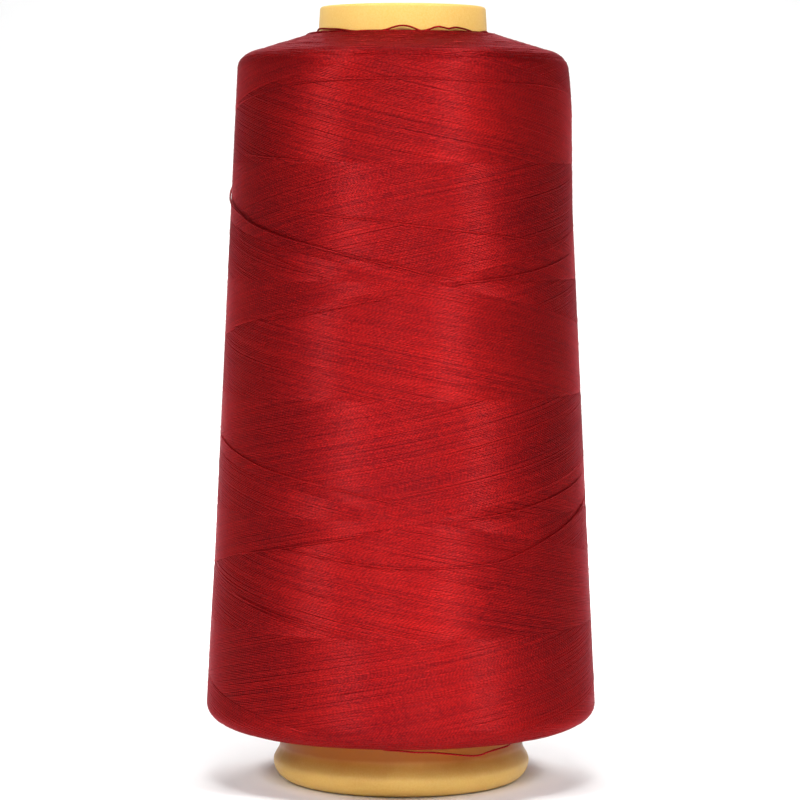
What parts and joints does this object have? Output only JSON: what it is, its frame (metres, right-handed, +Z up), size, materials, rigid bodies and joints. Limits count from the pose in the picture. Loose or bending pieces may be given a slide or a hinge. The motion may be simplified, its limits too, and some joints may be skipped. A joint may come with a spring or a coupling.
{
  "type": "cone spool of thread",
  "caption": "Tall cone of cross-wound sewing thread on a hollow tapered plastic core with a flared foot and an open bore.",
  "frame": {"origin": "centre of the flat ring that the core's foot stands on", "axes": "+Z up along the core's axis, from the foot to the neck; -Y is the side with the loose strands under the package"},
  "size_m": [0.0852, 0.0852, 0.17],
  "materials": {
    "core_plastic": "satin moulded plastic, warm yellow",
    "thread": "twisted polyester sewing thread, deep red with a soft sheen"
  },
  "bodies": {
    "root": {"cone_core": "core_plastic", "thread_winding": "thread", "neck_strand": "thread", "foot_strand": "thread", "side_strand": "thread"}
  },
  "joints": []
}
